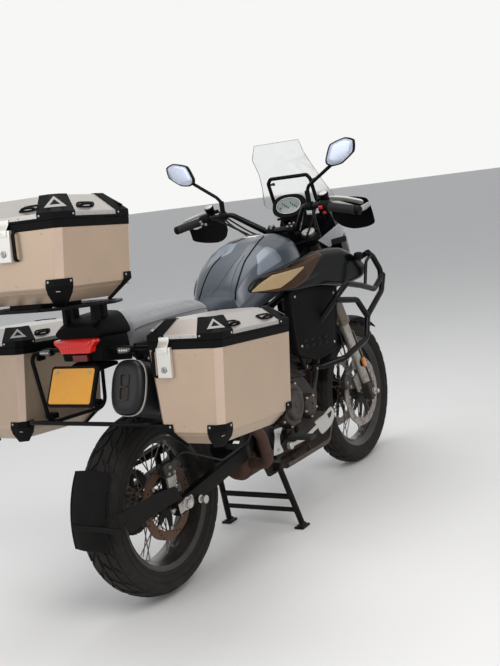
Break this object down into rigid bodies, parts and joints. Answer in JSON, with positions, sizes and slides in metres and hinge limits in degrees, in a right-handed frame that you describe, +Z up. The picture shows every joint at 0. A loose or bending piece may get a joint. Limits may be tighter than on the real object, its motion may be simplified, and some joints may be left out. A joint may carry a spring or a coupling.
{
  "type": "adventure motorcycle with three aluminium luggage cases",
  "caption": "Large dual-sport motorcycle on its centre stand, with two side cases, a top case, crash bars and a tall clear windscreen",
  "frame": {"origin": "middle of the bounding box at floor level", "axes": "+X forward along the bike, +Y to the rider's left, +Z up"},
  "size_m": [2.36, 1.078, 1.5],
  "materials": {
    "black_metal": "satin black powder coat",
    "silver_metal": "brushed, slightly rusty",
    "grip_rubber": "matt black",
    "display": "dark display glass",
    "engine_metal": "dark coated castings",
    "rusty_pipe": "heat-browned and rusty",
    "frame_paint": "satin dark grey paint",
    "black_plastic": "matt black",
    "tyre": "matt black rubber, dusty",
    "blue_grey": "dark blue-grey satin paint",
    "lamp_clear": "clear lens",
    "lamp_amber": "smoked amber lens",
    "mirror": "silvered glass",
    "muffler_black": "satin black",
    "plate_yellow": "blank yellow-orange plate",
    "case_metal": "brushed aluminium sheet, slightly warm",
    "pillion_cover": "grey-silver grained cover",
    "rider_cover": "dark grey grained cover",
    "tan_brown": "glossy brown panel",
    "lamp_red": "red lens",
    "screen": "clear"
  },
  "bodies": {
    "root": {"chain": "silver_metal", "crash_bars": "black_metal", "dashboard": "display", "engine": "engine_metal", "exhaust_pipes": "rusty_pipe", "footrests": "silver_metal", "frame": "frame_paint", "fuel_tank": "blue_grey", "headlamp": "lamp_clear", "indicators": "lamp_amber", "muffler": "muffler_black", "nose_cowl": "blue_grey", "number_plate": "plate_yellow", "pannier_racks": "black_metal", "pannier_shell_left": "case_metal", "pannier_shell_right": "case_metal", "pillion_seat": "pillion_cover", "plate_holder": "black_plastic", "radiator": "black_metal", "rear_axle": "silver_metal", "rear_caliper": "black_metal", "rear_mudguard": "black_plastic", "rear_rack": "black_metal", "rider_seat": "rider_cover", "screen_frame": "black_metal", "shock": "black_metal", "side_fairings": "tan_brown", "skid_plate": "silver_metal", "swingarm": "black_metal", "tail_cowl": "black_plastic", "tail_lamp": "lamp_red", "top_case_shell": "case_metal", "windscreen": "screen"},
    "front_wheel": {"front_tyre": "tyre", "front_rim": "black_metal", "front_discs": "silver_metal"},
    "rear_wheel": {"rear_tyre": "tyre", "rear_rim": "black_metal", "rear_disc": "silver_metal", "rear_sprocket": "silver_metal"},
    "steering": {"fork": "black_metal", "triple_clamps": "black_metal", "handlebar": "black_metal", "controls": "grip_rubber", "hand_guards": "black_plastic", "mirrors": "black_plastic", "mirror_glass": "mirror", "front_axle": "silver_metal", "front_mudguard": "black_plastic", "front_calipers": "black_metal"},
    "centre_stand": {"centre_stand": "black_metal"},
    "side_stand": {"side_stand": "black_metal"},
    "top_lid": {"top_case_lid": "case_metal"},
    "left_lid": {"pannier_lid_left": "case_metal"},
    "right_lid": {"pannier_lid_right": "case_metal"}
  },
  "joints": [
    {"name": "steering", "type": "hinge", "parent": "root", "child": "steering", "pos_m": [0.81667, 0, 0.31264], "axis": [-0.4305, 0, 0.9026], "range_deg": [-34, 34]},
    {"name": "front_wheel_spin", "type": "hinge", "parent": "steering", "child": "front_wheel", "pos_m": [0.85097, 0, 0.329], "axis": [0, 1, 0], "continuous": true},
    {"name": "rear_wheel_spin", "type": "hinge", "parent": "root", "child": "rear_wheel", "pos_m": [-0.67403, 0, 0.336], "axis": [0, 1, 0], "continuous": true},
    {"name": "centre_stand_fold", "type": "hinge", "parent": "root", "child": "centre_stand", "pos_m": [-0.07403, 0, 0.265], "axis": [0, 1, 0], "range_deg": [0, 85]},
    {"name": "side_stand_swing", "type": "hinge", "parent": "root", "child": "side_stand", "pos_m": [0.01597, 0.19, 0.27], "axis": [0.0348, -0.9367, -0.3484], "range_deg": [0, 96]},
    {"name": "top_lid_hinge", "type": "hinge", "parent": "root", "child": "top_lid", "pos_m": [-0.82768, 0, 1.31701], "axis": [0, 1, 0], "range_deg": [0, 95]},
    {"name": "left_lid_hinge", "type": "hinge", "parent": "root", "child": "left_lid", "pos_m": [-0.48385, 0.399, 0.90017], "axis": [0, 1, 0], "range_deg": [0, 95]},
    {"name": "right_lid_hinge", "type": "hinge", "parent": "root", "child": "right_lid", "pos_m": [-0.48385, -0.399, 0.90017], "axis": [0, 1, 0], "range_deg": [0, 95]}
  ]
}
